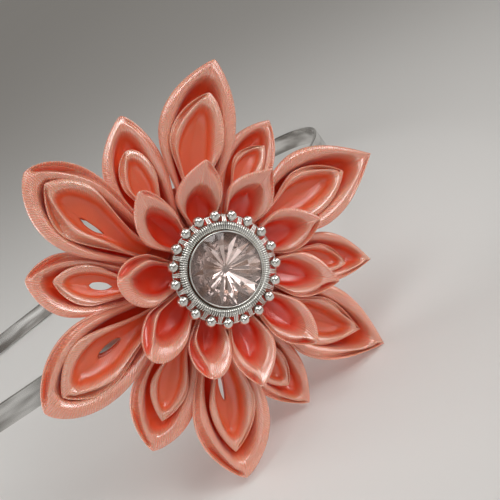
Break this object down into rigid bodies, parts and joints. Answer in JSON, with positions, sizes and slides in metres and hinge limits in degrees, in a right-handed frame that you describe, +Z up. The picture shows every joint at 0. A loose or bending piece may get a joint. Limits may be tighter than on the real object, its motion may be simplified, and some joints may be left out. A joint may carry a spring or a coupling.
{
  "type": "headband with a folded satin flower",
  "caption": "Flat steel headband with a layered flower of folded satin petals and a cut crystal ringed by silver beads at its heart.",
  "frame": {"origin": "centre of the bounding box at table level, with the headband lying as it rests by itself", "axes": "+Z up; -Y towards the side that the flower faces, where the picture was taken from; +X to that viewer's right. The band lies nearly flat, on one petal tip and the far arm"},
  "size_m": [0.139, 0.1427, 0.0702],
  "materials": {
    "satin_outer": "peach satin, folded",
    "satin_inner": "coral satin, folded",
    "satin_top": "peach satin, folded",
    "backing_felt": "peach felt",
    "jewel_felt": "peach felt",
    "band_steel": "satin nickel",
    "crystal_glass": "cut and polished",
    "setting_silver": "polished",
    "wrapped_silver": "fine wire wrapped round a ring",
    "bead_silver": "polished",
    "silver_wire": "drawn"
  },
  "bodies": {
    "root": {"large_outer_1": "satin_outer", "large_outer_2": "satin_outer", "large_outer_3": "satin_outer", "large_outer_4": "satin_outer", "large_outer_5": "satin_outer", "large_outer_6": "satin_outer", "large_inner_1": "satin_inner", "large_inner_2": "satin_inner", "large_inner_3": "satin_inner", "large_inner_4": "satin_inner", "large_inner_5": "satin_inner", "large_inner_6": "satin_inner", "small_outer_1": "satin_outer", "small_outer_2": "satin_outer", "small_outer_3": "satin_outer", "small_outer_4": "satin_outer", "small_outer_5": "satin_outer", "small_outer_6": "satin_outer", "small_inner_1": "satin_inner", "small_inner_2": "satin_inner", "small_inner_3": "satin_inner", "small_inner_4": "satin_inner", "small_inner_5": "satin_inner", "small_inner_6": "satin_inner", "top_petal_1": "satin_top", "top_petal_2": "satin_top", "top_petal_3": "satin_top", "top_petal_4": "satin_top", "top_petal_5": "satin_top", "top_petal_6": "satin_top", "top_petal_7": "satin_top", "top_petal_8": "satin_top", "top_petal_9": "satin_top", "top_petal_10": "satin_top", "backing_disc": "backing_felt", "steel_band": "band_steel", "jewel_base": "jewel_felt", "crystal": "crystal_glass", "crystal_setting": "setting_silver", "wrapped_ring": "wrapped_silver", "silver_beads": "bead_silver", "bead_wire": "silver_wire"}
  },
  "joints": []
}
